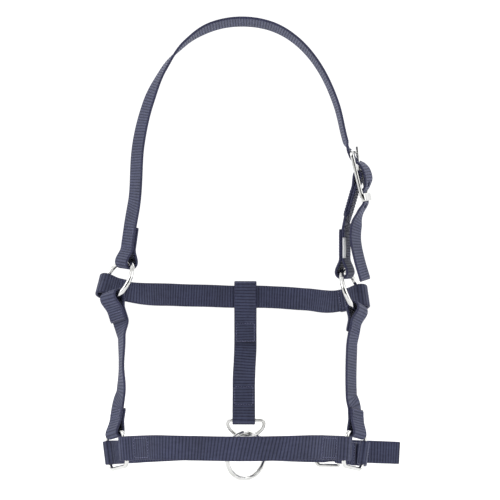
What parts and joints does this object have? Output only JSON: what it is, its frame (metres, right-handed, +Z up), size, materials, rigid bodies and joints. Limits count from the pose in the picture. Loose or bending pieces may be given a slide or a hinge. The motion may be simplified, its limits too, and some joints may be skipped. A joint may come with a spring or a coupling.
{
  "type": "horse halter",
  "caption": "Stable halter of ribbed webbing sewn round steel rings and squares, with a buckled headpiece, a buckled chin strap and a hanging tie ring.",
  "frame": {"origin": "middle of the headpiece's inner face, where it lies on the poll", "axes": "+Z up, +Y from the muzzle back to the throat, +X to the right of a person who faces the wearer"},
  "size_m": [0.3341, 0.158, 0.5039],
  "materials": {
    "webbing": "ribbed woven nylon, slight sheen",
    "thread": "twisted polyester thread",
    "nickel": "polished nickel plate",
    "label": "woven satin, blank"
  },
  "bodies": {
    "root": {"crown_strap": "webbing", "crown_chape": "webbing", "throat_strap": "webbing", "crown_buckle_frame": "nickel", "label_tag": "label", "crown_stitching": "thread", "crown_chape_stitching": "thread", "throat_stitching": "thread"},
    "lower_hoop": {"noseband": "webbing", "left_square": "nickel", "right_square": "nickel", "chin_strap": "webbing", "chin_chape": "webbing", "chin_buckle_frame": "nickel", "jaw_dee": "nickel", "left_cheek_strap": "webbing", "right_cheek_strap": "webbing", "jaw_strap": "webbing", "left_cheek_stitching": "thread", "right_cheek_stitching": "thread", "jaw_stitching": "thread", "noseband_stitching": "thread", "chin_stitching": "thread", "chin_chape_stitching": "thread"},
    "left_ring": {"left_upper_ring": "nickel"},
    "right_ring": {"right_upper_ring": "nickel"},
    "crown_tongue": {"crown_buckle_tongue": "nickel"},
    "chin_tongue": {"chin_buckle_tongue": "nickel"},
    "tie_ring": {"tie_ring": "nickel"}
  },
  "joints": [
    {"name": "lower_hoop_swing", "type": "hinge", "parent": "root", "child": "lower_hoop", "pos_m": [-0.13816, -0.01122, -0.29446], "axis": [0.9987, 0.0089, -0.0501], "range_deg": [-4, 12], "deforming": ["left_cheek_strap", "right_cheek_strap", "jaw_strap", "left_cheek_stitching", "right_cheek_stitching", "jaw_stitching"]},
    {"name": "left_ring_turn", "type": "hinge", "parent": "root", "child": "left_ring", "pos_m": [-0.134, 0, -0.276], "axis": [-0.6995, -0.5297, 0.4797], "continuous": true},
    {"name": "right_ring_turn", "type": "hinge", "parent": "root", "child": "right_ring", "pos_m": [0.118, 0, -0.288], "axis": [-0.8604, 0.3502, -0.3702], "continuous": true},
    {"name": "crown_tongue_lift", "type": "hinge", "parent": "root", "child": "crown_tongue", "pos_m": [0.126, 0, -0.163], "axis": [0.2645, 0.9623, 0.0627], "range_deg": [0, 4]},
    {"name": "chin_tongue_lift", "type": "hinge", "parent": "lower_hoop", "child": "chin_tongue", "pos_m": [0.107, 0.04, -0.466], "axis": [-0.0499, 0, -0.9988], "range_deg": [0, 4]},
    {"name": "tie_ring_swing", "type": "hinge", "parent": "lower_hoop", "child": "tie_ring", "pos_m": [0.004, 0.0414, -0.4492], "axis": [1, 0, 0], "range_deg": [-10, 10]}
  ]
}
